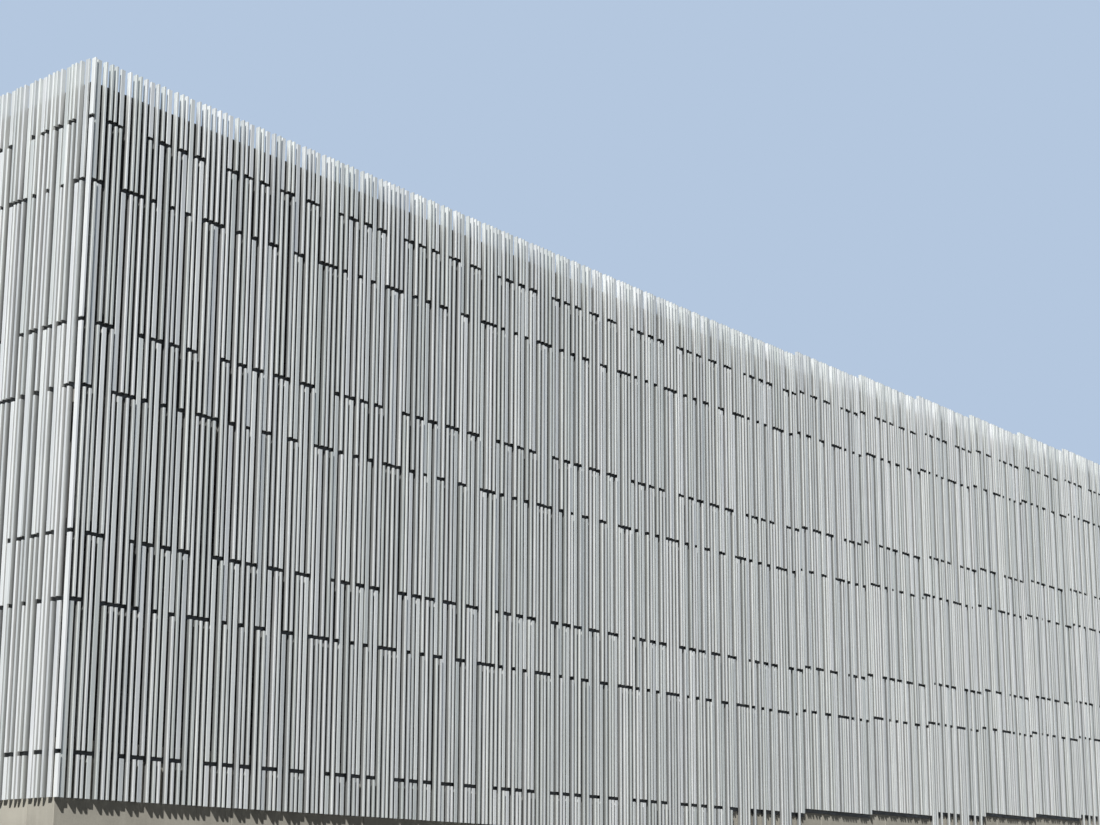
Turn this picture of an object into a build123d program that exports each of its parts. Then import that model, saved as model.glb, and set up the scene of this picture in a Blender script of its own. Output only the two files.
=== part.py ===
from build123d import *
import os

# Multi storey car park with a screen of upright metal tubes.
# Millimetres, +Z up, origin on the ground at the middle of the footprint.
# Front is -Y and its left-hand corner, the one seen in the photograph, is at -X -Y.

# Screen grid
slat_pitch = 100.0  # from one tube to the next
slats_per_bay = 25  # one parking stall
bay_lead = 2  # tube places by which every bay after the first starts early
front_bays = 13
side_bays = 6
level_bays = 7  # bays from the left before the decks start to climb
step_height = 90.0  # rise of the screen at each bay after the level ones
grid_start = 35.0  # from a corner of the building to tube place 0, which stays empty
corner_slat = 78.0  # from a corner to the middle of the tube that closes the front there

# Screen tubes
slat_wide = 68.0  # long side of the tube's section
slat_thin = 34.0  # short side of the tube's section
slat_offset = 12.5  # from a place's middle to the middle of a tube on edge
wide_setback = 26.0  # of the tubes with the long side out, behind those on edge
joint_gap = 40.0  # open joint between two lengths of tube

# Rails behind the tubes
rail_thickness = 12.0
rail_height = 80.0

# Heights over the ground
storey_height = 2750.0
first_rail = 2700.0  # lower rail of the first storey
upper_rail = 857.0  # from the lower rail of a storey to its upper rail
slat_foot = 300.0  # from the first lower rail up to the foot of the tubes
slat_head = 810.0  # from the last upper rail to the head of the tubes
parked_decks = 4

# Concrete
plinth_thickness = 200.0
ground_thickness = 150.0
deck_thickness = 250.0
deck_over_rail = 30.0  # from the lower rail's middle up to the deck's top
barrier_thickness = 120.0
barrier_height = 1000.0
parapet_height = 1330.0

# Frame
column_size = 300.0
column_inset = 400.0  # from the outer face of the screen to a column
columns_per_side = 7
beam_width = 250.0
beam_height = 550.0

# Vehicle opening at the back
entrance_height = 2250.0
entrance_margin = 150.0  # from the opening to the columns on both sides of it
entrance_column = 1  # the opening lies between this column and the next, counted from 0

# Which rail row each tube is jointed at, U upper and L lower, from the tube at layout_start
joint_layout = "LLLLULUULUULUULLLLUULUULUULLUUULLUUU"
# How each tube is turned, from the same tube: R on edge right of its place, L on edge left of it, W long side out
turn_layout = "RRLLLLWRRLWRLWRRLLWRRLWRLWRRWRLWRRLW"
layout_start = 6
# Foot of the tubes in each front bay: F all reach the foot, R all stop at the upper rail,
# M those jointed at the upper rail stop there and the others reach the foot
foot_layout = "FFFFFFMRRMRRM"

bay_length = slats_per_bay * slat_pitch
front_length = front_bays * bay_length
side_length = side_bays * bay_length
x_left = -front_length / 2
y_front = -side_length / 2
wall_face = slat_wide + rail_thickness  # outer face of the concrete, in from the screen's face
slope = step_height / bay_length
ramp_x = x_left + (level_bays - 0.5) * bay_length
slat_top = first_rail + (parked_decks - 1) * storey_height + upper_rail + slat_head

os.makedirs("parts", exist_ok=True)


def save(node, solids):
    """Writes the solids of one node to its STEP file."""
    export_step(Compound(list(solids)), f"parts/{node}.step")


def block(x0, x1, y0, y1, z0, z1):
    """Box between two corners."""
    size = Box(x1 - x0, y1 - y0, z1 - z0, align=(Align.MIN, Align.MIN, Align.MIN))
    return Pos(x0, y0, z0) * size


def climb(x):
    """Rise of the sloping decks at x."""
    return max(0.0, x - ramp_x) * slope


def sloped_block(x0, x1, y0, y1, z0, z1, foot_climbs=True):
    """Block whose top follows the climb of the decks, and its foot too unless it stands on the ground."""
    stations = [x0, ramp_x, x1] if x0 < ramp_x < x1 else [x0, x1]
    foot = [(x, y0, z0 + climb(x)) for x in stations] if foot_climbs else [(x0, y0, z0), (x1, y0, z0)]
    head = [(x, y0, z1 + climb(x)) for x in reversed(stations)]
    face = make_face(Polyline(*foot, *head, close=True))
    return extrude(face, y1 - y0, dir=(0, 1, 0))


def mirrored(solids):
    """The same solids on the back of the building."""
    return [mirror(solid, about=Plane.XZ) for solid in solids]


def bay_rise(bay):
    """Rise of the screen in a front bay, counted from 0 at the left."""
    return max(0, bay + 1 - level_bays) * step_height


def layout_at(layout, index):
    """Letter of a repeating layout at a tube."""
    return layout[(index - layout_start) % len(layout)]


def deck_top(level):
    """Top of a deck on its level part, with level 1 the first over the ground."""
    return first_rail + (level - 1) * storey_height + deck_over_rail


# Ground storey
plinth_top = deck_top(1) + barrier_height
inner_face = wall_face + plinth_thickness


def make_ground():
    """Floor of the ground storey, inside the plinth walls."""
    save("ground_slab", [block(x_left + inner_face, -x_left - inner_face, y_front + inner_face,
                               -y_front - inner_face, 0, ground_thickness)])


def make_plinth():
    """Concrete walls of the ground storey, which rise past the first deck as its edge barrier."""
    x0, x1 = x_left + wall_face, -x_left - wall_face
    y0, y1 = y_front + wall_face, y_front + inner_face
    front_level = block(x0, ramp_x, y0, y1, 0, plinth_top)
    front_ramp = sloped_block(ramp_x, x1, y0, y1, 0, plinth_top, foot_climbs=False)
    save("plinth_front_level", [front_level])
    save("plinth_front_ramp", [front_ramp])
    save("plinth_back_ramp", mirrored([front_ramp]))
    gate0 = column_places()[entrance_column] + column_size + entrance_margin
    gate1 = column_places()[entrance_column + 1] - entrance_margin
    save("plinth_back_left", mirrored([block(x0, gate0, y0, y1, 0, plinth_top)]))
    save("plinth_back_middle", mirrored([block(gate1, ramp_x, y0, y1, 0, plinth_top)]))
    save("plinth_back_lintel", mirrored([block(gate0, gate1, y0, y1, entrance_height, plinth_top)]))
    save("plinth_left", [block(x0, x_left + inner_face, y1, -y1, 0, plinth_top)])
    right = -x_left - inner_face
    save("plinth_right", [sloped_block(right, x1, y1, -y1, 0, plinth_top, foot_climbs=False)])


def make_decks():
    """Four decks, level on the left and climbing on the right; the first fits inside the plinth."""
    for level in range(1, parked_decks + 1):
        edge = inner_face if level == 1 else wall_face
        top = deck_top(level)
        y0 = y_front + edge
        save(f"deck_{level}_level", [block(x_left + edge, ramp_x, y0, -y0, top - deck_thickness, top)])
        save(f"deck_{level}_ramp", [sloped_block(ramp_x, -x_left - edge, y0, -y0, top - deck_thickness, top)])


def make_edge_walls(name, levels, height):
    """Upright walls along the four edges of some decks."""
    x0, x1 = x_left + wall_face, -x_left - wall_face
    y0 = y_front + wall_face
    y1 = y0 + barrier_thickness
    spans = [(deck_top(level), deck_top(level) + height) for level in levels]
    front_level = [block(x0, ramp_x, y0, y1, z0, z1) for z0, z1 in spans]
    front_ramp = [sloped_block(ramp_x, x1, y0, y1, z0, z1) for z0, z1 in spans]
    save(f"{name}_front_level", front_level)
    save(f"{name}_front_ramp", front_ramp)
    save(f"{name}_back_level", mirrored(front_level))
    save(f"{name}_back_ramp", mirrored(front_ramp))
    save(f"{name}_left", [block(x0, x0 + barrier_thickness, y1, -y1, z0, z1) for z0, z1 in spans])
    save(f"{name}_right", [sloped_block(x1 - barrier_thickness, x1, y1, -y1, z0, z1) for z0, z1 in spans])


def column_places():
    """Left faces of the columns along one side."""
    first = x_left + column_inset
    last = -x_left - column_inset - column_size
    spacing = (last - first) / (columns_per_side - 1)
    return [first + spacing * i for i in range(columns_per_side)]


def make_frame():
    """Columns storey by storey between the decks, and the long beams that span from front to back."""
    y0 = y_front + column_inset
    y1 = y0 + column_size
    columns, beams = [], []
    for level in range(1, parked_decks + 1):
        under = deck_top(level) - deck_thickness
        for x in column_places():
            if level == 1:
                columns.append(sloped_block(x, x + column_size, y0, y1, ground_thickness, under, foot_climbs=False))
            else:
                columns.append(sloped_block(x, x + column_size, y0, y1, deck_top(level - 1), under))
            beam_x = x + (column_size - beam_width) / 2
            beams.append(sloped_block(beam_x, beam_x + beam_width, y1, -y1, under - beam_height, under))
    save("columns_front", columns)
    save("columns_back", mirrored(columns))
    save("deck_beams", beams)


def rail_heights():
    """Middle heights of the rail rows, lower and upper, that the tubes cover."""
    rows = [first_rail + upper_rail]
    for storey in range(1, parked_decks):
        lower = first_rail + storey * storey_height
        rows += [lower, lower + upper_rail]
    return rows


def rail(x0, x1, y0, y1, middle):
    """One length of rail."""
    return block(x0, x1, y0, y1, middle - rail_height / 2, middle + rail_height / 2)


def first_slat(bay):
    """First tube place of a front bay after bay 0."""
    return bay * slats_per_bay - bay_lead


def bay_edge(bay):
    """Where a front bay starts, half-way between two tubes; the outer ones start and end at the corner tubes."""
    if bay == 0:
        return x_left + corner_slat - slat_thin / 2
    if bay == front_bays:
        return -x_left - corner_slat + slat_thin / 2
    return x_left + grid_start + (first_slat(bay) - 0.5) * slat_pitch


def make_rails():
    """Rails behind the tubes: one level length, then one length a bay that steps with the screen."""
    y0 = y_front + slat_wide
    y1 = y_front + wall_face
    front = []
    for middle in rail_heights():
        front.append(rail(bay_edge(0), bay_edge(level_bays), y0, y1, middle))
        for bay in range(level_bays, front_bays):
            front.append(rail(bay_edge(bay), bay_edge(bay + 1), y0, y1, middle + bay_rise(bay)))
    save("rails_front", front)
    save("rails_back", mirrored(front))
    x0 = x_left + slat_wide
    x1 = x_left + wall_face
    last_rise = bay_rise(front_bays - 1)
    save("rails_left", [rail(x0, x1, y1, -y1, middle) for middle in rail_heights()])
    save("rails_right", [rail(-x1, -x0, y1, -y1, middle + last_rise) for middle in rail_heights()])


def slat_place(turn, place):
    """Both sides of a tube along the screen and how far its outer face lies back."""
    if turn == "W":
        return place - slat_wide / 2, place + slat_wide / 2, wide_setback
    middle = place + (slat_offset if turn == "R" else -slat_offset)
    return middle - slat_thin / 2, middle + slat_thin / 2, 0.0


def foot_height(bay, index):
    """Lower end of a front tube over the ground."""
    rule = foot_layout[bay]
    short = rule == "R" or (rule == "M" and layout_at(joint_layout, index) == "U")
    foot = upper_rail + joint_gap / 2 if short else slat_foot
    return first_rail + foot + bay_rise(bay)


def front_slat(index, last):
    """One upright tube of the front; the first and last close the corners, on edge."""
    bay = min((index + bay_lead) // slats_per_bay, front_bays - 1)
    if index in (0, last):
        middle = x_left + corner_slat if index == 0 else -x_left - corner_slat
        x0, x1, back_set = middle - slat_thin / 2, middle + slat_thin / 2, 0.0
    else:
        x0, x1, back_set = slat_place(layout_at(turn_layout, index), x_left + grid_start + index * slat_pitch)
    return block(x0, x1, y_front + back_set, y_front + slat_wide,
                 foot_height(bay, index), slat_top + bay_rise(bay))


def side_slat(index, side, rise):
    """One upright tube of a side, left for side -1 and right for side 1."""
    y0, y1, back_set = slat_place(layout_at(turn_layout, index), y_front + grid_start + index * slat_pitch)
    x0, x1 = sorted((side * (-x_left - slat_wide), side * (-x_left - back_set)))
    return block(x0, x1, y0, y1, first_rail + slat_foot + rise, slat_top + rise)


def places(length):
    """How many tube places fit along a face after place 0, clear of the tubes round both corners."""
    return int((length - grid_start - slat_wide - slat_pitch / 2) // slat_pitch)


def make_screens():
    """Screen tubes: front and back in a level and a stepped part, and the two sides."""
    last = places(front_length) + 1
    split = first_slat(level_bays)
    front = [front_slat(index, last) for index in range(last + 1)]
    save("screen_front_level", front[:split])
    save("screen_front_stepped", front[split:])
    save("screen_back_level", mirrored(front[:split]))
    save("screen_back_stepped", mirrored(front[split:]))
    side = range(1, places(side_length) + 1)
    last_rise = bay_rise(front_bays - 1)
    save("screen_left", [side_slat(index, -1, 0.0) for index in side])
    save("screen_right", [side_slat(index, 1, last_rise) for index in side])


make_ground()
make_plinth()
make_decks()
make_edge_walls("barrier", range(2, parked_decks), barrier_height)
make_edge_walls("parapet", [parked_decks], parapet_height)
make_frame()
make_rails()
make_screens()
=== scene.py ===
"""Looks of a multi storey car park behind a screen of upright metal tubes.

Metres, +Z up, origin on the ground at the middle of the footprint, as in the CAD model. The front is -Y.
Every face of the building is worked out in its own frame: u runs along the face from its left-hand or
front corner, v runs into the building from the screen's outer plane, and z is up.
"""

from __future__ import annotations

import logging
import math
from dataclasses import dataclass, field, fields
from enum import Enum

import bpy
import numpy as np
from bpy.types import ID, Material, Node, NodeSocket, Object, World
from mathutils import Matrix

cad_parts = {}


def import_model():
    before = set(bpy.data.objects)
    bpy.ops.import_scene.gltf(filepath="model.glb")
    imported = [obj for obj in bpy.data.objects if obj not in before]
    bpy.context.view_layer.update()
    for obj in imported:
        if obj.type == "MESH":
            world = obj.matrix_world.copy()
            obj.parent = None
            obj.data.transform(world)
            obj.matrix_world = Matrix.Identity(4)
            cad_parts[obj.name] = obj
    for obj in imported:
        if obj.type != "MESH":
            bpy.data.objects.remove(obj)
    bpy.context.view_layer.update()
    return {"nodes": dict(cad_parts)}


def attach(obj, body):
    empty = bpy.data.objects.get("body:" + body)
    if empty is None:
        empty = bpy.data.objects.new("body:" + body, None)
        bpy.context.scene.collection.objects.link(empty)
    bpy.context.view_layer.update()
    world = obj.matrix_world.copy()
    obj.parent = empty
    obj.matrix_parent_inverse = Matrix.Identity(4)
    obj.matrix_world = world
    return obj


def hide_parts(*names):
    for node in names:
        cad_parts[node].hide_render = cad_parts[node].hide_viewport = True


LOG = logging.getLogger("car_park")
SAME = 1e-6  # m; places that are closer than this are one place
Array = np.ndarray
Pair = tuple[float, float]
Triple = tuple[float, float, float]


# Shared sizes


@dataclass(frozen=True)
class Building:
    """Sizes in metres that the screen, the walls and the decks share, as in the CAD model."""

    length: float = 32.5
    depth: float = 15.0
    pitch: float = 0.1
    tubes_per_bay: int = 25
    front_bays: int = 13
    level_bays: int = 7
    bay_lead: int = 2
    step: float = 0.09
    grid_start: float = 0.035
    corner_tube: float = 0.066  # from a corner to its tube's middle; the CAD has 0.078, from an earlier fit
    storey: float = 2.75
    decks: int = 4
    first_rail: float = 2.7
    upper_rail: float = 0.857
    tube_foot: float = 3.0
    tube_head: float = 12.617
    rail_face: float = 0.068
    wall_face: float = 0.08
    wall: float = 0.2
    plinth_top: float = 3.73
    deck_over_rail: float = 0.03
    column: float = 0.3
    column_edge: float = 0.4
    column_bays: int = 6
    gate_jamb: float = 0.15
    gate_height: float = 2.25

    @property
    def bay(self) -> float:
        """Length of one bay, which is one parking stall."""
        return self.pitch * self.tubes_per_bay

    @property
    def ramp_start(self) -> float:
        """Where along the long faces the decks start to climb: the middle of the last level bay."""
        return (self.level_bays - 0.5) * self.bay

    @property
    def gate(self) -> Triple:
        """Both sides and the height of the vehicle opening, between columns 1 and 2 of the back."""
        return (self.column_left(1) + self.column + self.gate_jamb, self.column_left(2) - self.gate_jamb,
                self.gate_height)

    def column_left(self, number: int) -> float:
        """Left side of a column of the long faces, counted from 0."""
        spacing = (self.length - 2 * self.column_edge - self.column) / self.column_bays
        return self.column_edge + number * spacing

    def deck_top(self, level: int) -> float:
        """Top of a deck on its level part, with level 1 the first over the ground."""
        return self.first_rail + (level - 1) * self.storey + self.deck_over_rail

    def climb(self, u: Array) -> Array:
        """Rise of the sloping decks along the long faces: nothing at first, then one step a bay."""
        return np.maximum(0.0, u - self.ramp_start) * (self.step / self.bay)

    def bay_of(self, tube: Array) -> Array:
        """Front bay of each tube place, counted from 0 at the left."""
        return np.minimum((tube + self.bay_lead) // self.tubes_per_bay, self.front_bays - 1)

    def rise(self, bay: Array) -> Array:
        """Rise of the screen in each bay: one step for every bay after the level ones."""
        return np.maximum(0, bay + 1 - self.level_bays) * self.step

    def places(self, length: float) -> int:
        """How many tube places fit along a face after place 0, clear of both corners."""
        return int((length - self.grid_start - self.rail_face - self.pitch / 2) // self.pitch + SAME)


BUILDING = Building()


class Face(Enum):
    """The four faces of the building, with the CAD nodes of the screen and of the plinth on each."""

    FRONT = ("front", ("screen_front_level", "screen_front_stepped"),
             ("plinth_front_level", "plinth_front_ramp"))
    BACK = ("back", ("screen_back_level", "screen_back_stepped"),
            ("plinth_back_left", "plinth_back_lintel", "plinth_back_middle", "plinth_back_ramp"))
    LEFT = ("left", ("screen_left",), ("plinth_left",))
    RIGHT = ("right", ("screen_right",), ("plinth_right",))

    def __init__(self, label: str, screen_nodes: tuple[str, ...], plinth_nodes: tuple[str, ...]) -> None:
        """Keeps the face's name and its nodes."""
        self.label, self.screen_nodes, self.plinth_nodes = label, screen_nodes, plinth_nodes

    @property
    def long(self) -> bool:
        """Whether this is one of the two long faces, whose screen steps."""
        return self in (Face.FRONT, Face.BACK)

    @property
    def mirrored(self) -> bool:
        """Whether the face's frame is a mirror image, so that its faces are wound the other way round."""
        return self in (Face.BACK, Face.LEFT)

    def to_building(self, points: Array) -> Array:
        """Turns points (u, v, z) of this face into building points.

        The front adds u to the left end and v to the front plane; the back is the front mirrored in y;
        on the sides u runs along y and v along x.

        Args:
            points: n by 3 array in the face's own frame.

        Returns:
            The same points in the building's frame.
        """
        u, v, z = points.T
        half_x, half_y = BUILDING.length / 2, BUILDING.depth / 2
        x, y = {Face.FRONT: (u - half_x, v - half_y), Face.BACK: (u - half_x, half_y - v),
                Face.LEFT: (v - half_x, u - half_y), Face.RIGHT: (half_x - v, u - half_y)}[self]
        return np.column_stack([x, y, z])


# Meshes


@dataclass
class Surface:
    """Points and faces gathered piece by piece in the frame of one face of the building."""

    points: list[Array] = field(default_factory=list)
    faces: list[list[int]] = field(default_factory=list)
    values: dict[str, list[Array]] = field(default_factory=dict)
    count: int = 0

    def add(self, points: Array, faces: list[Array], **values: Array | float) -> None:
        """Adds one batch of shapes.

        Args:
            points: n by 3 array of points.
            faces: arrays of point numbers, one row a face, counted from the batch's first point.
            values: for each named attribute one number a point, or one for all of them.
        """
        for rows in faces:
            self.faces.extend((np.asarray(rows, dtype=np.int64) + self.count).tolist())
        for name, numbers in values.items():
            self.values.setdefault(name, []).append(np.broadcast_to(numbers, (len(points),)))
        self.points.append(points)
        self.count += len(points)

    def build(self, name: str, face: Face, material: Material, slot: str,
              replaces: tuple[str, ...] = ()) -> None:
        """Makes the gathered shapes one Blender object in the building's frame.

        Args:
            name: name of the object.
            face: face of the building whose frame the points are in.
            material: its finish.
            slot: material slot of the record; not used.
            replaces: CAD nodes that it stands for.
        """
        points = face.to_building(np.concatenate(self.points))
        faces = [row[::-1] for row in self.faces] if face.mirrored else self.faces
        mesh = bpy.data.meshes.new(name)
        mesh.from_pydata(points.tolist(), [], faces)
        for label, numbers in self.values.items():
            attribute = mesh.attributes.new(label, "FLOAT", "POINT")
            attribute.data.foreach_set("value", np.concatenate(numbers).astype(np.float32))
        mesh.materials.append(material)
        mesh.update()
        piece = bpy.data.objects.new(name, mesh)
        bpy.context.scene.collection.objects.link(piece)
        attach(piece, "root")
        if replaces:
            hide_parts(*replaces)
        LOG.info("%s: %d points, %d faces", name, len(points), len(faces))


def hashed(seed: Array | float) -> Array:
    """A number from 0 to 1 for every seed: the fraction of its sine times a large number."""
    return np.modf(np.abs(np.sin(seed)) * 43758.5453)[0]


def seed_of(first: Array | float, second: Array | float) -> Array | float:
    """One seed of two numbers: their sum with factors that no small whole numbers bring together."""
    return first * 12.9898 + second * 78.233


def band(first: int, second: int, n: int) -> Array:
    """Quads between two closed rings of n points: i and i + 1 of the first, i + 1 and i of the second.

    Args:
        first, second: number of the first point in each ring.
        n: points in a ring.

    Returns:
        One row a quad, turned away from the axis where the rings run anticlockwise, seen from beyond the
        second one, and towards it where they run the other way, as in a hole.
    """
    i = np.arange(n)
    j = (i + 1) % n
    return np.stack([i + first, j + first, j + second, i + second], 1)


def repeated(faces: Array | list[range], copies: int, points: int) -> Array:
    """Repeats the faces of one shape for a number of copies that have so many points each."""
    faces = np.array(faces)
    return (faces[None] + np.arange(copies)[:, None, None] * points).reshape(-1, faces.shape[1])


def at_depth(u: Array, v: float, z: Array) -> Array:
    """Points along u and z that all lie at the depth v."""
    return np.stack([u, np.full_like(u, v), z], -1)


def bars(first: Array, second: Array) -> tuple[Array, list[Array]]:
    """Carries closed rings of n points straight to second rings, and closes both ends.

    Args:
        first, second: bars by n by 3 arrays; the rings run anticlockwise, seen from beyond the second one.

    Returns:
        The points and the faces: the sides, the second ends and the first ends.
    """
    count, n, _ = first.shape
    faces = band(0, n, n), [range(n, 2 * n)], [range(n - 1, -1, -1)]
    return np.concatenate([first, second], 1).reshape(-1, 3), [repeated(f, count, 2 * n) for f in faces]


def boxes(u0: Array, u1: Array, v0: Array, v1: Array, z0: Array, z1: Array) -> tuple[Array, list[Array]]:
    """Boxes between pairs of corners: bars from the ring at the foot to the ring at the head.

    Args:
        u0, u1, v0, v1, z0, z1: lower and upper bounds of every box; single numbers stand for all of them.

    Returns:
        The points and the faces.
    """
    u0, u1, v0, v1, z0, z1 = np.broadcast_arrays(*map(np.atleast_1d, (u0, u1, v0, v1, z0, z1)))
    ring = np.stack([u0, u1, u1, u0], 1), np.stack([v0, v0, v1, v1], 1)
    return bars(*(np.stack([*ring, np.repeat(z[:, None], 4, 1)], 2) for z in (z0, z1)))


# Finishes


Inputs = tuple | dict[str | int, object]
NOISE = (0.3, 0.7)  # the range that holds most values of a noise


def linear(hex_code: str) -> tuple[float, ...]:
    """Makes sRGB hex linear: c / 12.92 up to 0.04045, above it ((c + 0.055) / 1.055) to the power 2.4."""
    channels = [int(hex_code[i:i + 2], 16) / 255 for i in (0, 2, 4)]
    return (*(c / 12.92 if c <= 0.04045 else ((c + 0.055) / 1.055) ** 2.4 for c in channels), 1.0)


def per_metre(millimetres: float) -> float:
    """Scale of a noise on Object coordinates whose grains are that many millimetres across."""
    return 1000.0 / millimetres


class Graph:
    """The nodes of one material, or of the world."""

    def __init__(self, owner: Material | World) -> None:
        """Empties the node tree.

        Args:
            owner: the material or the world.
        """
        owner.use_nodes = True
        self.owner, self.tree = owner, owner.node_tree
        self.tree.nodes.clear()

    def add(self, kind: str, inputs: Inputs = (), **settings: object) -> Node:
        """Adds one node with its settings and its links.

        Args:
            kind: Blender's name of the node's type, without the ShaderNode in front.
            inputs: values, hex colours or sockets to link from, in the sockets' order or by name or number.
            settings: properties of the node itself.

        Returns:
            The node.
        """
        node = self.tree.nodes.new(f"ShaderNode{kind}")
        for name, value in settings.items():
            setattr(node, name, value)
        for name, value in inputs.items() if isinstance(inputs, dict) else enumerate(inputs):
            if isinstance(value, NodeSocket):
                self.tree.links.new(value, node.inputs[name])
            else:
                node.inputs[name].default_value = linear(value) if isinstance(value, str) else value
        return node

    def grains(self, size: Triple, detail: float = 3.0, offset: float = 0.0) -> NodeSocket:
        """Lays a noise on Object coordinates, with grains of a real size.

        Args:
            size: size of a grain along x, y and z in millimetres.
            detail: how many finer octaves are laid over it.
            offset: shift, so that two noises don't match.

        Returns:
            The noise, about 0.5 on average.
        """
        mapping = self.add("Mapping", {
            "Vector": self.add("TexCoord").outputs["Object"], "Scale": tuple(per_metre(s) for s in size),
            "Location": (offset, offset * 0.7, offset * 1.3)})
        return self.add("TexNoise", {"Vector": mapping.outputs[0], "Scale": 1.0, "Detail": detail,
                                     "Roughness": 0.55}).outputs["Fac"]

    def patched(self, first: NodeSocket | str, second: str, pattern: NodeSocket, source: Pair = (0.0, 1.0),
                cover: float = 1.0) -> NodeSocket:
        """Lays the second colour over the first as a pattern rises through its source, up to the cover."""
        share = self.add("MapRange", (pattern, *source, 0.0, cover)).outputs[0]
        return self.add("Mix", {0: share, 6: first, 7: second}, data_type="RGBA").outputs[2]

    def shaded(self, colour: NodeSocket, *layers: tuple[NodeSocket, Pair, Pair]) -> NodeSocket:
        """Makes a colour lighter and darker by patterns laid over each other.

        Args:
            colour: the colour.
            layers: patterns, each with the range it runs over and the brightness at both ends of it.

        Returns:
            The colour times the brightness of every layer.
        """
        for pattern, source, brightness in layers:
            scale = self.add("MapRange", (pattern, *source, *brightness)).outputs[0]
            colour = self.add("VectorMath", {"Vector": colour, "Scale": scale}, operation="SCALE").outputs[0]
        return colour

    def shown_rays(self) -> NodeSocket:
        """Tells what is seen from light that bounces about.

        Returns:
            1 to the camera and in reflections and glass, and 0 to all other light.
        """
        path = self.add("LightPath")
        seen = path.outputs["Is Camera Ray"]
        for ray in ("Is Glossy Ray", "Is Transmission Ray"):
            seen = self.add("Math", (seen, path.outputs[ray]), operation="MAXIMUM").outputs[0]
        return seen

    def surface(self, inputs: Inputs) -> Material:
        """Ends the nodes in a Principled shader with these inputs, and gives back the material."""
        self.add("OutputMaterial", {"Surface": self.add("BsdfPrincipled", inputs).outputs[0]})
        return self.owner


@dataclass(frozen=True)
class MillAluminium:
    """Extruded aluminium box tube, satin and left bare.

    Extruding gives fine lines along each length, and every length left the press with its own tone, so the
    eye sees pale bands that differ a little from one to the next: cooler, greener or duller. The sides are
    darkened the deeper they lie in the gaps between the tubes: painted shade.
    """

    pale: str = "eff1f0"
    dull: str = "babfbf"
    green_cast: str = "dce3de"
    blue_cast: str = "e0e3e7"
    cast_share: float = 0.35
    roughness: Pair = (0.39, 0.52)
    metallic: float = 0.25  # low for a metal: its oxide and dust scatter most of the light
    line_size: Triple = (5.0, 5.0, 1800.0)  # mm; real lines are finer than a pixel
    line_shade: Pair = (0.90, 1.04)
    line_bump: float = 0.12
    line_relief: float = 0.0006
    weather_size: Triple = (90.0, 90.0, 700.0)  # mm, faint rain marks
    weather_shade: Pair = (0.93, 1.03)
    painted_shade_span: Pair = (0.008, 0.032)  # m back from the outer face where the painted shade in the gaps starts, and where it is full
    # brightness at both ends of that span: painted shade, darkest deep in the gaps
    gap_painted_shade: Pair = (1.0, 0.34)

    def material(self) -> Material:
        """Builds the finish from the tone, cast and depth that each length carries as attributes.

        Returns:
            The material.
        """
        graph = Graph(bpy.data.materials.new("mill_finished_aluminium_tube"))
        tone, cast, depth = (graph.add("Attribute", attribute_name=name).outputs["Fac"]
                             for name in ("tube_tone", "tube_cast", "tube_depth"))
        lines, weather = graph.grains(self.line_size, 2.0), graph.grains(self.weather_size, offset=3.1)
        colour = graph.patched(self.dull, self.pale, tone)
        tint = graph.patched(self.green_cast, self.blue_cast, cast)
        colour = graph.add("Mix", {0: self.cast_share, 6: colour, 7: tint}, data_type="RGBA").outputs[2]
        # the last layer of the colour is painted shade: the sides darken by their depth into the gaps
        return graph.surface({
            "Base Color": graph.shaded(colour, (lines, NOISE, self.line_shade),
                                       (weather, NOISE, self.weather_shade),
                                       (depth, self.painted_shade_span, self.gap_painted_shade)),
            "Metallic": self.metallic,
            "Roughness": graph.add("MapRange", (weather, *NOISE, *self.roughness)).outputs[0],
            "Normal": graph.add("Bump", {"Strength": self.line_bump, "Distance": self.line_relief,
                                         "Height": lines}).outputs[0]})


@dataclass(frozen=True)
class CastConcrete:
    """Concrete cast in place, left as it came from the form.

    The form gives a flat face with cloudy patches, rain has drawn upright streaks down it, and small air
    holes pit it. Colours say how clean and how wet the mix was.
    """

    name: str
    light: str
    dark: str
    streak: str
    streaks: float
    roughness: Pair = (0.79, 0.91)
    cloud_size: Triple = (650.0, 650.0, 455.0)  # mm
    cloud_range: Pair = (0.25, 0.75)  # values of the pattern between which it works, as for the next two
    streak_size: Triple = (110.0, 110.0, 2600.0)  # mm
    streak_range: Pair = (0.5, 0.75)
    pit_size: Triple = (14.0, 14.0, 14.0)  # mm; real pits are 3 to 8 mm and would not show
    pit_range: Pair = (0.3, 0.6)
    pit_shade: Pair = (0.9, 1.04)
    pit_bump: float = 0.25
    pit_relief: float = 0.002
    panel_shade: Pair | None = None  # brightness of the darkest and the palest panel

    def material(self) -> Material:
        """Builds the finish: clouds, upright streaks and pits, and a tone for each panel.

        Returns:
            The material.
        """
        graph = Graph(bpy.data.materials.new(self.name))
        clouds, rain = graph.grains(self.cloud_size, 5.0), graph.grains(self.streak_size, offset=5.3)
        pits = graph.grains(self.pit_size, 2.0, offset=1.9)
        colour = graph.patched(self.dark, self.light, clouds, self.cloud_range)
        colour = graph.patched(colour, self.streak, rain, self.streak_range, self.streaks)
        layers = [(pits, self.pit_range, self.pit_shade)]
        if self.panel_shade:
            tone = graph.add("Attribute", attribute_name="panel_tone").outputs["Fac"]
            layers.append((tone, (0.0, 1.0), self.panel_shade))
        return graph.surface({
            "Base Color": graph.shaded(colour, *layers),
            "Roughness": graph.add("MapRange", (clouds, *NOISE, *self.roughness)).outputs[0],
            "Normal": graph.add("Bump", {"Strength": self.pit_bump, "Distance": self.pit_relief,
                                         "Height": pits}).outputs[0]})


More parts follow.
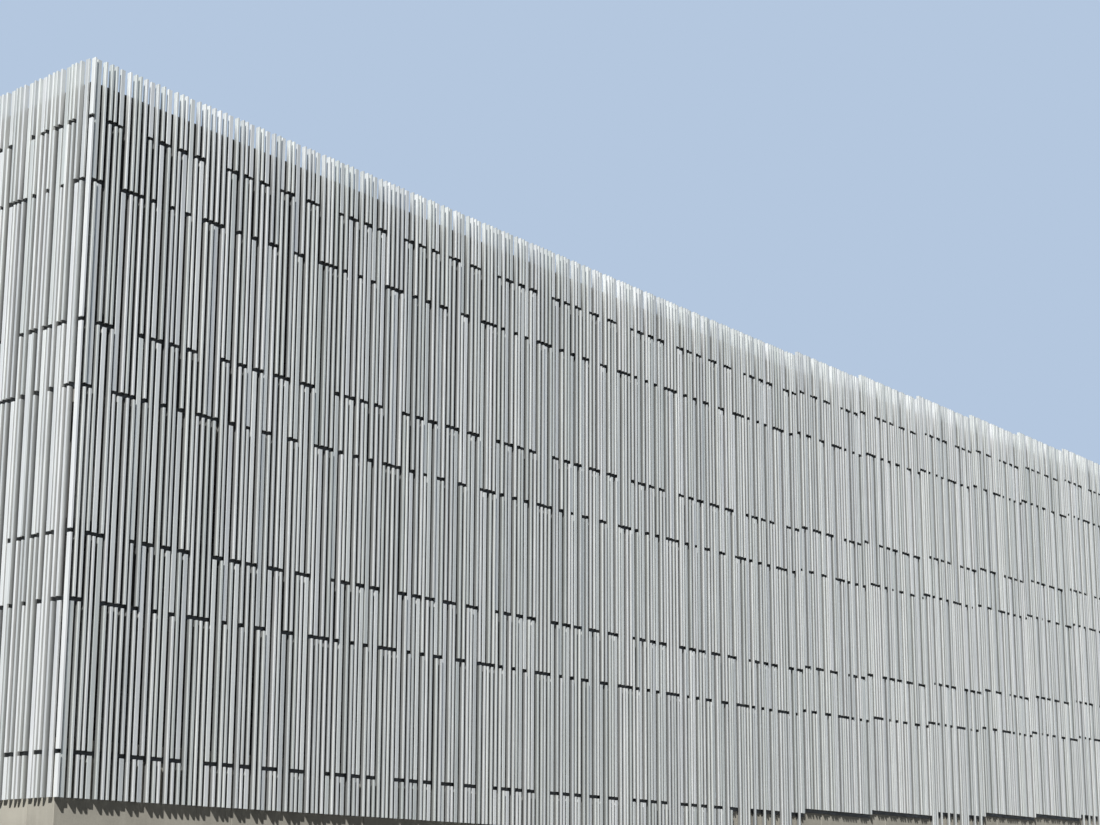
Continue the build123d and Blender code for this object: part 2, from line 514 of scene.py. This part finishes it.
@dataclass(frozen=True)
class PatchyFinish:
    """A finish of one colour with soft patches of a second, as wear, dust or a spangle leaves them."""

    name: str
    colour: str
    patch: str
    size: Triple  # mm
    detail: float
    source: Pair  # values of the pattern where a patch starts and is whole
    cover: float  # how much of the second colour a whole patch has
    roughness: float
    rougher: float = 0.0  # how much rougher a patch is
    metallic: float = 0.0

    def material(self) -> Material:
        """Builds the finish.

        Returns:
            The material.
        """
        graph = Graph(bpy.data.materials.new(self.name))
        patches = graph.grains(self.size, self.detail)
        colour = graph.patched(self.colour, self.patch, patches, self.source, self.cover)
        rough = (patches, *NOISE, self.roughness, self.roughness + self.rougher)
        return graph.surface({
            "Base Color": colour, "Metallic": self.metallic,
            "Roughness": graph.add("MapRange", rough).outputs[0] if self.rougher else self.roughness})


# Fair-faced concrete is pale and clean, with a tone of its own for each panel.
PLINTH_CONCRETE = CastConcrete("fair_faced_plinth_concrete", "adaa9f", "9a978d", "bfbcb2", streaks=0.3,
                               panel_shade=(0.88, 1.06))
# Power-floated decks are closed and a little smoother, with wide clouds.
DECK_CONCRETE = CastConcrete("power_floated_deck_concrete", "8a8883", "787672", "67655f", streaks=0.15,
                             cloud_size=(1400.0, 1400.0, 980.0), roughness=(0.74, 0.86))
# The barriers are dark concrete, darkened further to nearly black as painted shade for the dim inside behind
# the tubes; the frame is a plain dark grey.
BARRIER_CONCRETE = CastConcrete("dark_cast_barrier_concrete", "2b2b2a", "201f1f", "343432", streaks=0.25)
FRAME_CONCRETE = CastConcrete("precast_frame_concrete", "504f4c", "3f3e3b", "5a5955", streaks=0.2)
# Bright zinc plating is a pale metal with a soft spangle.
ZINC_PLATE = PatchyFinish("zinc_plated_steel_cleat", "a9aaa6", "d8d8d2", (9.0, 9.0, 9.0), 1.0, NOISE, 1.0,
                          roughness=0.36, metallic=0.8)
# Brushed paint on the rails is nearly black, with dust that dulls it.
RAIL_PAINT = PatchyFinish("dark_grey_painted_steel_rail", "16191a", "2b2e2d", (180.0, 180.0, 60.0), 3.0,
                          (0.45, 0.8), 0.55, roughness=0.42, rougher=0.28)
# Thermoplastic line paint is white, worn through in patches by tyres.
LINE_PAINT = PatchyFinish("white_thermoplastic_line", "d9d8d0", "8d8b84", (180.0, 180.0, 180.0), 6.0,
                          (0.52, 0.62), 0.8, roughness=0.7)


# Screen


@dataclass
class Lengths:
    """Every length of tube on one face, as arrays with one entry a length."""

    left: Array
    right: Array
    outer: Array
    inner: Array
    foot: Array
    head: Array
    capped: Array
    tube: Array
    storey: Array

    def pick(self, which: Array) -> Lengths:
        """The lengths for which the given array is true."""
        return Lengths(*(getattr(self, part.name)[which] for part in fields(self)))


@dataclass
class TubeScreen:
    """The screen of upright tubes on one face: each tube is made of lengths with open joints between them.

    A length stands on edge, right or left of its place, or turns its long side out and lies back on packers.
    Tubes are jointed at the upper or at the lower rail of each storey, by a layout that repeats.
    """

    face: Face
    material: Material
    wide: float = 0.068
    thin: float = 0.034
    offset: float = 0.0125  # of a length on edge, from its place
    setback: float = 0.026  # of a length with its long side out
    wall: float = 0.003
    arris: float = 0.0025
    bore_arris: float = 0.001
    joint: float = 0.055
    layout_start: int = 6
    joint_layout: str = "LLLLULUULUULUULLLLUULUULUULLUUULLUUU"
    turn_layouts: tuple[str, ...] = ("RRLLWLLWRRLRRRRRLLWRRLWRLWRRWRLWRRLW",
                                     "RRLLLLWRRLWRLWRRLLWRRLWRLLRRWRLWRRLW",
                                     "LWRRWRLWRRLWRRLLLLRLWRRLWRWLLLWRRLWR",
                                     "WRLLLLWRRLWRLWRRWRLWRRLWRRWLLLRLWRRL",
                                     "RRLLWLLWRRLWRRLLLLWRRLWRLWRRWRLWRRLW")  # one for each storey
    turn_starts: tuple[str, ...] = ("WR", "WR", "RR", "RW", "WR")  # tubes 1 and 2 of the long faces
    lead: float = 0.012  # how far tube 1 of the long faces stands off its place, away from the corner
    foot_layout: str = "FFFFFFMRRMRRM"
    side_start: str = "LLUULUULUULU"  # the sides start with these, and the layout follows
    left_painted_shade_share: float = 0.6  # on the left face the painted shade reaches less deep: share of the depth that counts there
    face_seed: float = 37.7
    cast_seed: Pair = (1.7, 4.1)
    surface: Surface = field(default_factory=Surface)

    def joint_heights(self) -> tuple[Array, Array]:
        """Middle heights of the joints of the tubes jointed at the upper rails, and at the lower ones."""
        lower = BUILDING.first_rail + BUILDING.storey * np.arange(BUILDING.decks)
        return lower + BUILDING.upper_rail, lower[1:]

    def rail_heights(self) -> Array:
        """Middle heights of all rails on the level part, from the lowest."""
        return np.sort(np.concatenate(self.joint_heights()))

    def joints(self, tube: Array) -> Array:
        """Tells at which rail each tube is jointed.

        Args:
            tube: numbers of the tubes.

        Returns:
            U for the upper rail of a storey, L for the lower one.
        """
        layout = self.joint_layout * BUILDING.front_bays
        letters, first = (layout, self.layout_start) if self.face.long else (self.side_start + layout, 1)
        return np.array(list(letters))[(tube - first) % len(letters)]

    def tubes(self) -> Array:
        """Numbers of the tubes on this face; the long faces have one more at each corner."""
        count = BUILDING.places(BUILDING.length if self.face.long else BUILDING.depth)
        return np.arange(0, count + 2) if self.face.long else np.arange(1, count + 1)

    def corners(self, tube: Array) -> tuple[Array, Array]:
        """Tells which tubes stand at the first and at the last corner of the face."""
        last = BUILDING.places(BUILDING.length) + 1
        return self.face.long & (tube == 0), self.face.long & (tube == last)

    def rise(self, tube: Array) -> Array:
        """Rise of each tube: by bay on the long faces, none on the left, the last bay's on the right."""
        side_bay = BUILDING.front_bays - 1 if self.face is Face.RIGHT else 0
        return BUILDING.rise(BUILDING.bay_of(tube) if self.face.long else np.full(len(tube), side_bay))

    def short(self, tube: Array) -> Array:
        """Tells which tubes stop at the first upper rail instead of reaching the foot line.

        Args:
            tube: numbers of the tubes.

        Returns:
            True for all tubes of a bay marked R, and for those jointed at the upper rails in one marked M.
        """
        if not self.face.long:
            return np.zeros(len(tube), bool)
        rule = np.array(list(self.foot_layout))[BUILDING.bay_of(tube)]
        return (rule == "R") | ((rule == "M") & (self.joints(tube) == "U"))

    def span(self, tube: Array, storey: Array) -> tuple[Array, ...]:
        """Works out where each length stands in the plan: at its place, or an offset to one side of it.

        Args:
            tube: number of each length's tube.
            storey: storey of each length.

        Returns:
            Left and right side, outer and inner plane of each length.
        """
        b = BUILDING
        turn = np.array([list(layout) for layout in self.turn_layouts])[
            storey, (tube - self.layout_start) % len(self.joint_layout)]
        middle = b.grid_start + tube * b.pitch
        if self.face.long:
            start = (tube == 1) | (tube == 2)
            turn[start] = np.array([list(pair) for pair in self.turn_starts])[storey[start], tube[start] - 1]
            middle = np.where(tube == 1, middle + self.lead, middle)
        first, last = self.corners(tube)
        middle = np.where(first, b.corner_tube, np.where(last, b.length - b.corner_tube, middle))
        turn[first | last] = "C"
        middle = middle + np.where(turn == "R", self.offset, np.where(turn == "L", -self.offset, 0.0))
        flat = turn == "W"
        half = np.where(flat, self.wide, self.thin) / 2
        outer = np.where(flat, self.setback, 0.0)
        return middle - half, middle + half, outer, outer + np.where(flat, self.thin, self.wide)

    def lengths(self) -> Lengths:
        """Cuts every tube at its joints.

        A tube jointed at the upper rails has five lengths and one jointed at the lower rails four; the
        heights of their ends are the joint's middle plus or minus half the gap, and all of a tube rises
        with its bay.

        Returns:
            All lengths of this face.
        """
        upper, lower = self.joint_heights()
        half = self.joint / 2
        tubes = self.tubes()
        at_upper, short, rise = self.joints(tubes) == "U", self.short(tubes), self.rise(tubes)
        columns: list[tuple[Array, ...]] = []
        for group, joints, first_storey in ((at_upper, upper, 0), (~at_upper, lower, 1)):
            feet = np.concatenate([[BUILDING.tube_foot], joints + half])
            heads = np.concatenate([joints - half, [BUILDING.tube_head]])
            for number, (foot, head) in enumerate(zip(feet, heads)):
                start = np.where(short[group] & (number == 0), upper[0] + half, foot)
                keep = start < head
                members, start, up = tubes[group][keep], start[keep], rise[group][keep]
                columns.append((start + up, head + up, np.full(len(members), number == len(joints)), members,
                                np.full(len(members), number + first_storey)))
        foot, head, capped, tube, storey = (np.concatenate(parts) for parts in zip(*columns))
        return Lengths(*self.span(tube, storey), foot, head, capped, tube, storey)

    def ring(self, lengths: Lengths, inset: float, arris: float) -> Array:
        """Section of each tube: a rectangle with its corners cut, anticlockwise from the outer left.

        Args:
            lengths: the lengths.
            inset: how far the ring lies inside their bounds.
            arris: length cut off each side at a corner.

        Returns:
            Lengths by 8 by 2 array.
        """
        x0, x1, a = lengths.left + inset, lengths.right - inset, arris
        y0, y1 = lengths.outer + inset, lengths.inner - inset
        return np.stack([np.stack([x0 + a, x1 - a, x1, x1, x1 - a, x0 + a, x0, x0], 1),
                         np.stack([y0, y0, y0 + a, y1 - a, y1, y1, y1 - a, y0 + a], 1)], 2)

    def add_tubes(self, lengths: Lengths, closed: bool) -> None:
        """Adds hollow lengths, open at both ends or closed by a cap at the head.

        Each has an outer and an inner skin of eight sides, and a rim at each end; a cap is two plates a
        wall's thickness apart. The tone and cast of a length come from a sine hash of its numbers, and its
        depth is how far each point lies back from its outer face, or 0 where no painted shade goes; the
        finish darkens the sides by it as painted shade.

        Args:
            lengths: the lengths to add.
            closed: whether they have a cap.
        """
        skin = self.ring(lengths, 0.0, self.arris)
        bore = self.ring(lengths, self.wall, self.bore_arris)
        rings = ((skin, lengths.foot), (skin, lengths.head), (bore, lengths.foot),
                 (bore, lengths.head - (self.wall if closed else 0.0)))  # they start at 0, 8, 16 and 24
        points = np.concatenate([np.concatenate([ring, np.repeat(z[:, None, None], 8, 1)], 2)
                                 for ring, z in rings], 1)
        count = points.shape[1]
        sides = [band(0, 8, 8), band(24, 16, 8), band(16, 0, 8)] + ([] if closed else [band(8, 24, 8)])
        caps = [[range(8, 16)], [range(31, 23, -1)]] if closed else []
        faces = [repeated(rows, len(points), count) for rows in (np.concatenate(sides), *caps)]
        seed = seed_of(lengths.tube, lengths.storey) + list(Face).index(self.face) * self.face_seed
        first, last = self.corners(lengths.tube)
        tone = np.where(first, 1.0, hashed(seed))  # the tube at the first corner is the palest
        cast = hashed(seed * self.cast_seed[0] + self.cast_seed[1])
        # Painted shade: each point's depth into the gap darkens it in the finish; the corner tubes get none.
        reach = self.left_painted_shade_share if self.face is Face.LEFT else 1.0
        depth = (points[:, :, 1] - lengths.outer[:, None]) * reach
        depth[first | last] = 0.0
        if closed:  # the heads stand free above the parapet and get no painted shade
            depth[:, 8:16] = depth[:, 24:] = 0.0
        self.surface.add(points.reshape(-1, 3), faces, tube_tone=np.repeat(tone, count),
                         tube_cast=np.repeat(cast, count), tube_depth=depth.ravel())

    def build(self) -> None:
        """Makes all lengths of tube on this face."""
        lengths = self.lengths()
        for closed in (False, True):
            self.add_tubes(lengths.pick(lengths.capped == closed), closed)
        self.surface.build(f"screen_tubes_{self.face.label}", self.face, self.material, "screen_tube",
                           self.face.screen_nodes)


@dataclass
class Fixings:
    """Cleats at the joints of one face, and the packers behind the tubes that turn their long side out.

    A cleat is an angle of two plates, one on the rail and one along the tube's side, with a hexagon bolt.
    """

    screen: TubeScreen
    material: Material
    plate: float = 0.004
    reach: float = 0.028
    leg: float = 0.034
    height: float = 0.045
    drop: float = 0.045  # from the joint's middle down to the cleat's middle
    bolt_share: float = 0.6  # where on the plate's reach the bolt sits
    bolt_radius: float = 0.008
    bolt_head: float = 0.006
    packer_width: float = 0.034
    packer_height: float = 0.06
    surface: Surface = field(default_factory=Surface)

    def add_bolts(self, u: Array, z: Array) -> None:
        """Adds hexagon heads that point out of the face: six points at the plate and six in front.

        Args:
            u, z: middle of each bolt.
        """
        angle = np.arange(6) * math.pi / 3
        ring_u = u[:, None] + self.bolt_radius * np.cos(angle)
        ring_z = z[:, None] + self.bolt_radius * np.sin(angle)
        back = BUILDING.rail_face - self.plate
        self.surface.add(*bars(*(at_depth(ring_u, v, ring_z) for v in (back, back - self.bolt_head))))

    def build(self) -> None:
        """Makes the cleats right of every length that ends at a joint, and the packers at every rail."""
        surface, lengths, face = self.surface, self.screen.lengths(), BUILDING.rail_face
        jointed = lengths.pick(~lengths.capped)
        u, z = jointed.right, jointed.head + self.screen.joint / 2 - self.drop
        low, high = z - self.height / 2, z + self.height / 2
        surface.add(*boxes(u, u + self.reach, face - self.plate, face, low, high))
        surface.add(*boxes(u, u + self.plate, face - self.leg, face - self.plate, low, high))
        self.add_bolts(u + self.reach * self.bolt_share, z)
        flat = lengths.pick(lengths.outer > 0)
        middle, side, up = (flat.left + flat.right) / 2, self.packer_width / 2, self.packer_height / 2
        for rail in self.screen.rail_heights():
            level = rail + self.screen.rise(flat.tube)
            at = (flat.foot < level - up) & (flat.head > level + up)
            surface.add(*boxes(middle[at] - side, middle[at] + side, flat.inner[at], face,
                               level[at] - up, level[at] + up))
        surface.build(f"screen_fixings_{self.screen.face.label}", self.screen.face, self.material, "rail")


# Ground storey


@dataclass
class PlinthWall:
    """Cast wall of the ground storey on one face, in panels between open joints, with cone holes.

    The wall behind the panels is one solid; the panels stand a little off it, so that the joints are dark
    lines with depth.
    """

    face: Face
    material: Material
    first_joint: Pair = (2.85, 0.53)  # from the corner to the first joint on the long faces and the sides
    panel: float = 2.5
    last_panel: float = 0.3  # least width of the last panel
    gate_panel: float = 0.35  # least width of a panel beside the opening
    joint: float = 0.006
    panel_depth: float = 0.02
    arris: float = 0.004
    day_joint: float = 1.5
    holed: Pair = (1.6, 1.3)  # least width and height of a panel with holes
    hole_edge: float = 0.55
    hole_rows: tuple[float, ...] = (0.45, 1.0)
    hole_cell: float = 0.036  # half of the square cell around a hole
    hole_radius: float = 0.024
    hole_floor: float = 0.0168  # radius at the bottom
    hole_depth: float = 0.014
    label_seed: float = 3.7
    surface: Surface = field(default_factory=Surface)

    def top(self, u: Array) -> Array:
        """Top of the wall at places along the face: on the long faces it climbs with the decks."""
        end = BUILDING.wall_face if self.face is Face.LEFT else BUILDING.length - BUILDING.wall_face
        return BUILDING.plinth_top + BUILDING.climb(u if self.face.long else np.full_like(u, end))

    def ends(self) -> Pair:
        """Where the panels start and end along the face."""
        length = BUILDING.length if self.face.long else BUILDING.depth
        return BUILDING.wall_face, length - BUILDING.wall_face

    def add_backing(self, u0: float, u1: float, z0: float) -> None:
        """Adds the solid wall between two places, up to its top.

        Its outline of stations at the foot and the head is carried from the inner face to the panels' back.

        Args:
            u0, u1: the two places.
            z0: the foot of this part.
        """
        b = BUILDING
        us = np.array([u0, b.ramp_start, u1] if self.face.long and u0 < b.ramp_start < u1 else [u0, u1])
        u, z = np.array([[*us, *us[::-1]]]), np.array([[*np.full(len(us), z0), *self.top(us)[::-1]]])
        ends = (at_depth(u, b.wall_face + v, z) for v in (b.wall, self.panel_depth))
        self.surface.add(*bars(*ends), panel_tone=0.5)

    def add_panel(self, u0: float, u1: float, z0: float, z1: float | None) -> None:
        """Adds one panel: a lattice whose marked cells are cone holes, with its edges cut back to the wall.

        Lattice lines run at the panel's edges, at the cut arrises and around each hole. A point's height
        is its share of the way from z0 to the panel's top at that u. Where two faces meet, the long face's
        panel keeps the cut arris and the side's panel starts behind it.

        Args:
            u0, u1: sides of the panel.
            z0: its foot.
            z1: its head, or None where it reaches the top of the wall.
        """
        v0, a, ramp = BUILDING.wall_face, self.arris, BUILDING.ramp_start
        start, end = self.ends()
        at_corner = u0 == start, u1 == end
        tone = hashed(seed_of(u0, z0) + self.label_seed * len(self.face.label))
        base = float(np.min(self.top(np.array([u0, u1])))) if z1 is None else z1
        holes: tuple[list[float], ...] = ([], [])
        if u1 - u0 > self.holed[0] and base - z0 > self.holed[1]:
            holes = [u0 + self.hole_edge, u1 - self.hole_edge], [z0 + row for row in self.hole_rows]
        around = np.array([[-self.hole_cell], [self.hole_cell]])
        us, zs = (np.sort([low, low + a, high - a, high, *(np.array(middles) + around).ravel()])
                  for low, high, middles in ((u0, u1, holes[0]), (z0, base, holes[1])))
        if self.face.long and u0 < ramp < u1 and np.abs(us - ramp).min() > SAME:
            us = np.sort(np.append(us, ramp))
        grid_u, grid_z = np.meshgrid(us, zs)
        if z1 is None:
            grid_z = grid_z + (self.top(us) - base) * ((grid_z - z0) / (base - z0))
        grid = at_depth(grid_u, v0, grid_z)
        grid[[0, -1], :, 1] = grid[:, [0, -1], 1] = v0 + a
        if not self.face.long:
            grid = grid[:, int(at_corner[0]):len(us) - int(at_corner[1])]
        points = grid.reshape(-1, 3)
        number = np.arange(len(points)).reshape(grid.shape[:2])
        cells = np.stack([number[:-1, :-1], number[:-1, 1:], number[1:, 1:], number[1:, :-1]], 2)
        is_hole = np.zeros(cells.shape[:2], bool)
        marked = np.searchsorted(zs, holes[1]) - 1, np.searchsorted(grid[0, :, 0], holes[0]) - 1
        is_hole[np.ix_(*marked)] = True
        self.surface.add(points, [cells[~is_hole]], panel_tone=tone)
        self.add_skirt(grid, tone, at_corner)
        for cell in cells[is_hole]:
            self.add_hole(points[cell], tone)

    def add_skirt(self, grid: Array, tone: Array, at_corner: tuple[bool, bool]) -> None:
        """Adds the edges of a panel, from the cut arris back to the wall, and its back.

        The edges are a closed loop around the lattice, carried back; none stands at a building corner.

        Args:
            grid: points of the lattice, row by row.
            tone: tone of the panel.
            at_corner: whether the panel starts and ends at a corner of the building.
        """
        loop = np.concatenate([grid[0], grid[1:-1, -1], grid[-1, ::-1], grid[-2:0:-1, 0]])
        u, z = loop[:, 0], loop[None, :, 2]
        shared = np.zeros(len(u), bool)
        for side, there in zip(grid[0, [0, -1], 0], at_corner):
            shared |= there & (u == side) & (np.roll(u, -1) == side)
        ends = (at_depth(u[None], BUILDING.wall_face + v, z) for v in (self.panel_depth, self.arris))
        points, (sides, _, back) = bars(*ends)
        self.surface.add(points, [sides[~shared], back], panel_tone=tone)

    def add_hole(self, square: Array, tone: Array) -> None:
        """Adds one cone hole inside a square cell: eight points at the face and eight around its floor.

        The first spoke and every second one after it point at the cell's corners, from the lower left.

        Args:
            square: the four corners of the cell.
            tone: tone of the panel.
        """
        angle = -0.75 * math.pi + np.arange(8) * math.pi / 4
        spokes = np.column_stack([np.cos(angle), np.zeros(8), np.sin(angle)])
        rim = square.mean(0) + self.hole_radius * spokes
        floor = square.mean(0) + self.hole_floor * spokes + [0.0, self.hole_depth, 0.0]
        k = np.arange(4)
        after, first, middle, last = (k + 1) % 4, 4 + 2 * k, 5 + 2 * k, 4 + (2 * k + 2) % 8
        around = [np.stack(three, 1) for three in
                  ((k, after, middle), (k, middle, first), (after, last, middle))]
        self.surface.add(np.concatenate([square, rim, floor]), [*around, band(4, 12, 8), [range(12, 20)]],
                         panel_tone=tone)

    def build(self) -> None:
        """Makes the wall: rows of panels, and the solid behind them, left open where vehicles drive in."""
        gate, half = BUILDING.gate if self.face is Face.BACK else None, self.joint / 2
        start, end = self.ends()
        first, back = (self.first_joint[0], self.panel_depth) if self.face.long else (
            self.first_joint[1], BUILDING.wall)
        parts = [(start + back, end - back, 0.0)]
        edges = [start, *np.arange(start + first, end - self.last_panel, self.panel), end]
        if gate:
            parts = [(start + back, gate[0], 0.0), gate, (gate[1], end - back, 0.0)]
            clear = [e for e in edges if not gate[0] - self.gate_panel < e < gate[1] + self.gate_panel]
            edges = sorted(clear + list(gate[:2]))
        for part in parts:
            self.add_backing(*part)
        for left, right in zip(edges[:-1], edges[1:]):
            if gate and (left, right) == gate[:2]:
                self.add_panel(*gate, None)
                continue
            u0, u1 = left + half * (left > start), right - half * (right < end)
            self.add_panel(u0, u1, 0.0, self.day_joint - half)
            self.add_panel(u0, u1, self.day_joint + half, None)
        self.surface.build(f"plinth_wall_{self.face.label}", self.face, self.material, "plinth_concrete",
                           self.face.plinth_nodes)


# Decks and the plain nodes


@dataclass
class StallLines:
    """White lines between the parking stalls, in two rows on every deck and a lane between the rows."""

    material: Material
    width: float = 0.1
    stall_depth: float = 4.8
    thickness: float = 0.002
    bed: float = 0.004  # how deep a line reaches into the deck, which climbs under it
    edge: float = 0.45

    def build(self) -> None:
        """Makes the lines: one box a line, its height taken from the deck's climb at its middle."""
        b, surface = BUILDING, Surface()
        u = np.arange(1, b.front_bays) * b.bay
        for level in range(1, b.decks + 1):
            z = b.deck_top(level) + b.climb(u)
            for v0 in (self.edge, b.depth - self.edge - self.stall_depth):
                surface.add(*boxes(u - self.width / 2, u + self.width / 2, v0, v0 + self.stall_depth,
                                   z - self.bed, z + self.thickness))
        surface.build("stall_lines", Face.FRONT, self.material, "deck_concrete")


@dataclass(frozen=True)
class PlainNodes:
    """CAD nodes that keep their own solids and only take a finish."""

    finish: CastConcrete | PatchyFinish
    slot: str
    beginnings: tuple[str, ...]

    def dress(self, nodes: dict[str, Object]) -> None:
        """Gives the finish to every node whose name starts with one of the beginnings.

        Args:
            nodes: the CAD nodes by name.
        """
        material = self.finish.material()
        for name, node in nodes.items():
            if name.startswith(self.beginnings):
                node.data.materials.clear()
                node.data.materials.append(material)
                LOG.info("%s takes %s", name, material.name)


# Studio


def placed(name: str, data: ID, *columns: Triple | Array) -> Object:
    """Puts a lamp or a camera into the scene.

    Args:
        name: its name.
        data: the lamp or the camera.
        columns: its own x, y and z axes and its place, all in the building's frame.

    Returns:
        Its object.
    """
    thing = bpy.data.objects.new(name, data)
    thing.matrix_world = Matrix([*np.column_stack(columns).tolist(), [0, 0, 0, 1]])
    bpy.context.scene.collection.objects.link(thing)
    return thing


@dataclass(frozen=True)
class Sun:
    """A sun lamp: its place in degrees, its strength in watts a square metre and its width in degrees.

    The azimuth counts from the front's normal towards the left face. A wide lamp has soft shadows.
    """

    name: str
    azimuth: float
    height: float
    strength: float
    angle: float
    colour: str
    distance: float = 60.0

    def build(self) -> None:
        """Hangs the lamp: its own -Z points from the sky down to the building."""
        azimuth, height = math.radians(self.azimuth), math.radians(self.height)
        lamp = bpy.data.lights.new(self.name, "SUN")
        lamp.energy, lamp.angle = self.strength, math.radians(self.angle)
        lamp.color = linear(self.colour)[:3]
        towards = np.array([-math.sin(azimuth) * math.cos(height), -math.cos(azimuth) * math.cos(height),
                            math.sin(height)])
        side = np.array([math.cos(azimuth), -math.sin(azimuth), 0.0])
        placed(self.name, lamp, side, np.cross(towards, side), towards, towards * self.distance)


@dataclass(frozen=True)
class Studio:
    """Pale floor, soft light from the left and the camera of the photograph.

    The sun's direction comes from the shadows of the tubes on the plinth: 62 degrees left of the front's
    normal and 48 degrees up. A soft fill stands behind the building for the faces in shade.
    """

    suns: tuple[Sun, ...] = (Sun("sun", 62.0, 47.7, 6.0, 0.7, "fffdfa"),
                             Sun("fill", -138.0, 38.0, 2.2, 30.0, "fbfcff"))
    world_light: float = 0.08
    world_colour: str = "f2f5fa"
    sky: str = "b4c7df"
    floor: str = "a3a19d"
    floor_bounce: str = "444443"
    floor_size: float = 600.0
    camera_at: Triple = (-30.8109, -27.0434, 1.4891)
    right: Triple = (0.62635, -0.77954, 0.00269)
    up: Triple = (-0.15401, -0.12036, 0.98071)
    back: Triple = (-0.76418, -0.61468, -0.19545)
    lens: float = 63.408
    sensor: float = 36.0
    shift: Pair = (-0.00741, 0.11518)
    sight: float = 500.0

    def build_floor(self) -> None:
        """Makes the pale floor: it shows its own colour, and throws less light back up on the tubes."""
        bpy.ops.mesh.primitive_plane_add(size=self.floor_size, location=(0.0, 0.0, 0.0))
        floor = bpy.context.object
        floor.name = "studio_floor"
        graph = Graph(bpy.data.materials.new("matt_studio_floor"))
        colour = graph.patched(self.floor_bounce, self.floor, graph.shown_rays())
        floor.data.materials.append(graph.surface({"Base Color": colour, "Roughness": 0.9}))

    def build_world(self) -> None:
        """Lights the scene evenly, and shows a pale sky to the camera and in reflections only."""
        world = bpy.data.worlds.new("studio")
        bpy.context.scene.world = world
        graph = Graph(world)
        light, shown = (graph.add("Background", {"Color": colour, "Strength": strength}).outputs[0]
                        for colour, strength in ((self.world_colour, self.world_light), (self.sky, 1.0)))
        mix = graph.add("MixShader", (graph.shown_rays(), light, shown))
        graph.add("OutputWorld", {"Surface": mix.outputs[0]})

    def build_camera(self) -> None:
        """Sets the camera from the photograph's three vanishing points."""
        lens = bpy.data.cameras.new("camera")
        lens.lens, lens.sensor_width, lens.sensor_fit = self.lens, self.sensor, "HORIZONTAL"
        lens.shift_x, lens.shift_y = self.shift
        lens.clip_end = self.sight
        bpy.context.scene.camera = placed("camera", lens, self.right, self.up, self.back, self.camera_at)

    def build(self) -> None:
        """Sets up the floor, the world, the lamps and the camera."""
        self.build_floor()
        self.build_world()
        for sun in self.suns:
            sun.build()
        self.build_camera()
        bpy.context.scene.view_settings.view_transform = "Standard"


def main() -> None:
    """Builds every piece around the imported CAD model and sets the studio."""
    logging.basicConfig(level=logging.INFO, format="%(name)s: %(message)s")
    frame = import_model()

    tube, zinc, concrete = MillAluminium().material(), ZINC_PLATE.material(), PLINTH_CONCRETE.material()
    for face in Face:
        screen = TubeScreen(face, tube)
        screen.build()
        Fixings(screen, zinc).build()
        PlinthWall(face, concrete).build()
    StallLines(LINE_PAINT.material()).build()
    decks = tuple(f"deck_{level + 1}" for level in range(BUILDING.decks))
    for group in (PlainNodes(DECK_CONCRETE, "deck_concrete", (*decks, "ground")),
                  PlainNodes(BARRIER_CONCRETE, "barrier_concrete", ("barrier", "parapet")),
                  PlainNodes(FRAME_CONCRETE, "frame_concrete", ("columns", "deck_beams")),
                  PlainNodes(RAIL_PAINT, "rail", ("rails",))):
        group.dress(frame["nodes"])

    Studio().build()


if __name__ == "__main__":
    main()
